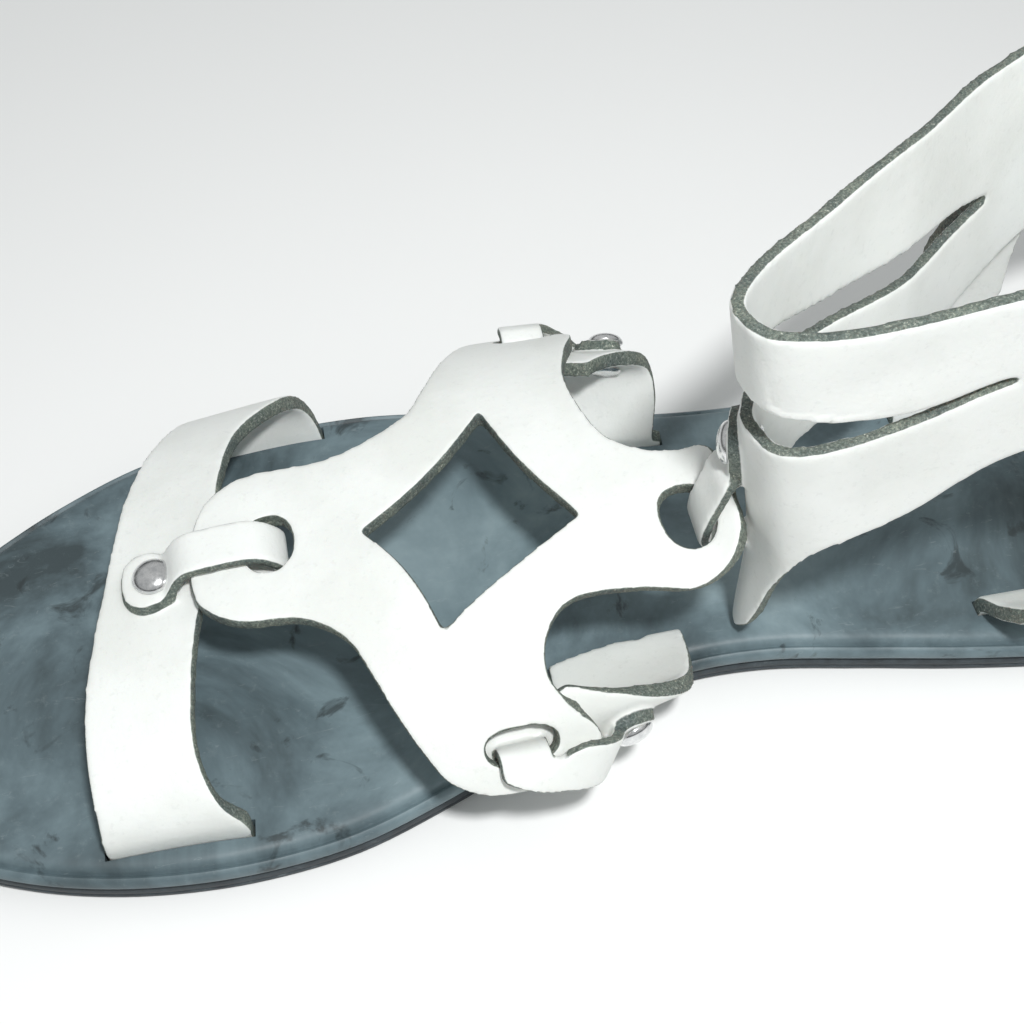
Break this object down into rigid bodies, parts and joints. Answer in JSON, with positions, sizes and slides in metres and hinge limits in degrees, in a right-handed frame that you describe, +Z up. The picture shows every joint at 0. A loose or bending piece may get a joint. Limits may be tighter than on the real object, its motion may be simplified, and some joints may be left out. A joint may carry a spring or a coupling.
{
  "type": "flat strap sandal with ankle cuff",
  "caption": "Flat strap sandal with a toe band, a star-shaped instep piece with a diamond hole, side straps and a wide slit ankle cuff.",
  "frame": {"origin": "on the floor under the middle of the heel seat", "axes": "+X along the sole to the toe, +Y to the inner side of the foot, +Z up"},
  "size_m": [0.2431, 0.0874, 0.0882],
  "materials": {
    "outsole_rubber": "matt black rubber, dusty at the side",
    "footbed_cover": "smooth dark blue-grey, worn and marked",
    "white_leather": "white pigmented leather with raw grey cut edges",
    "rivet_nickel": "bright nickel plate"
  },
  "bodies": {
    "root": {"outsole": "outsole_rubber", "footbed": "footbed_cover", "toe_band": "white_leather", "instep_star": "white_leather", "medial_side_strap": "white_leather", "lateral_side_strap": "white_leather", "ankle_cuff": "white_leather", "medial_heel_strap": "white_leather", "lateral_heel_strap": "white_leather", "toe_rivet": "rivet_nickel", "medial_side_rivet": "rivet_nickel", "lateral_side_rivet": "rivet_nickel", "cuff_rivet": "rivet_nickel", "medial_heel_rivet": "rivet_nickel", "lateral_heel_rivet": "rivet_nickel"}
  },
  "joints": []
}
